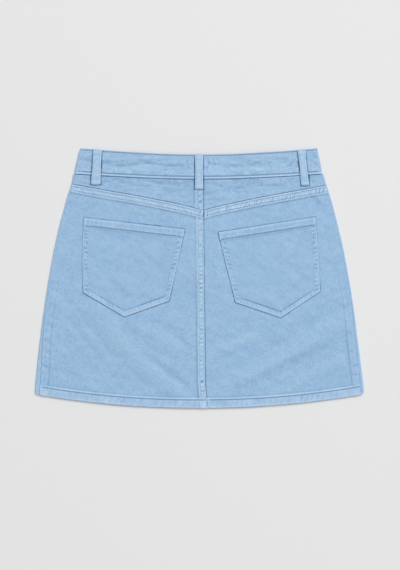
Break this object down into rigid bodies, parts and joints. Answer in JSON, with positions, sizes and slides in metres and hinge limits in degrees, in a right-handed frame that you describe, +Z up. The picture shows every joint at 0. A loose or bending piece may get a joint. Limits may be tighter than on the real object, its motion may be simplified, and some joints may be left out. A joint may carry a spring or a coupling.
{
  "type": "denim skirt",
  "caption": "Short denim skirt laid flat on its front, with pointed back yokes, patch pockets, belt loops and a lapped front closing.",
  "frame": {"origin": "centre of the box around the skirt, on the surface it lies on", "axes": "+Z up from the surface, +Y towards the waist, +X to the right of the back seen from above"},
  "size_m": [0.5109, 0.4042, 0.0134],
  "materials": {
    "denim": "light stone-washed twill",
    "denim_pocket": "light stone-washed twill",
    "denim_band": "light stone-washed twill",
    "denim_loop": "light stone-washed twill, worn pale",
    "zip_tape": "woven tape",
    "steel": "satin"
  },
  "bodies": {
    "root": {"back_panel_left": "denim", "back_panel_right": "denim", "back_yoke_left": "denim", "back_yoke_right": "denim", "back_pocket_left": "denim_pocket", "back_pocket_right": "denim_pocket", "waistband": "denim_band", "belt_loop_back_left": "denim_loop", "belt_loop_back_centre": "denim_loop", "belt_loop_back_right": "denim_loop", "front_panel_left": "denim", "front_panel_right": "denim", "belt_loop_front_left": "denim_loop", "belt_loop_front_right": "denim_loop", "fly_zip": "zip_tape", "zip_slider": "steel", "waist_button": "steel"}
  },
  "joints": []
}
